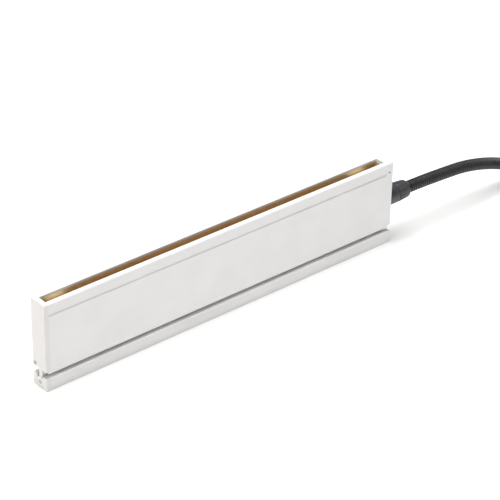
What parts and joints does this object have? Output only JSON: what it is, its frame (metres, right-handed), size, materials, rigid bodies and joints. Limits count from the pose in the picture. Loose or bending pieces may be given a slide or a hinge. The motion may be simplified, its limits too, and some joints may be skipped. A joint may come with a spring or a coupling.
{
  "type": "heat lamp warmer",
  "caption": "Slim white overhead heat lamp: a quartz heating tube in a slotted aluminium housing that tilts on a mounting rail, with a flexible cable conduit.",
  "frame": {"origin": "middle of the rail face that is bolted to a shelf, which is the underside in the stored pose", "axes": "+X along the lamp towards the cable gland, +Y from the front face to the rear face, +Z from the rail towards the slot that the heat leaves by"},
  "size_m": [0.9085, 0.1875, 0.108],
  "materials": {
    "white_coating": "satin",
    "screw_steel": "satin",
    "gold_reflector": "gloss",
    "spring_steel": "satin",
    "clear_quartz": "gloss",
    "heating_wire": "satin",
    "steatite": "matte",
    "fibre_board": "matte",
    "nylon": "matte",
    "silicone_lead": "matte",
    "silicone_grommet": "matte",
    "brown_core": "matte",
    "green_yellow_core": "matte",
    "blue_core": "matte",
    "brass_terminal": "satin",
    "black_polyamide": "matte",
    "black_conduit": "matte",
    "seal_rubber": "matte",
    "tie_webbing": "matte"
  },
  "bodies": {
    "rail": {"mounting_rail": "white_coating", "channel_liner": "nylon", "rail_cap_left": "white_coating", "rail_cap_right": "white_coating", "tilt_lock_screws": "screw_steel", "conduit_coil": "black_conduit", "coil_ties": "tie_webbing", "connector_nut": "black_polyamide", "connector_body": "black_polyamide", "connector_pins": "brass_terminal"},
    "lamp": {"housing_profile": "white_coating", "bead_washers": "nylon", "bead_screws": "screw_steel", "end_plate_left": "white_coating", "end_plate_right": "white_coating", "left_plate_screw": "screw_steel", "right_plate_screws": "screw_steel", "earth_test_screw": "screw_steel", "reflector": "gold_reflector", "insulation_bed": "fibre_board", "quartz_tube": "clear_quartz", "heating_coil": "heating_wire", "ceramic_cap_left": "steatite", "ceramic_cap_right": "steatite", "lamp_holder_left": "spring_steel", "lamp_holder_right": "spring_steel", "holder_screws": "screw_steel", "web_grommets": "silicone_grommet", "lamp_lead_left": "silicone_lead", "lamp_lead_right": "silicone_lead", "terminal_block": "steatite", "terminal_screws": "brass_terminal", "block_screw": "screw_steel", "earth_screw": "brass_terminal", "live_core": "brown_core", "earth_core": "green_yellow_core", "neutral_core": "blue_core", "gland_body": "black_polyamide", "gland_seal": "seal_rubber", "gland_nut": "black_polyamide", "conduit_run": "black_conduit"}
  },
  "joints": [
    {"name": "lamp_tilt", "type": "hinge", "parent": "rail", "child": "lamp", "pos_m": [0, 0, 0.0072], "axis": [1, 0, 0], "range_deg": [-15, 15]}
  ]
}
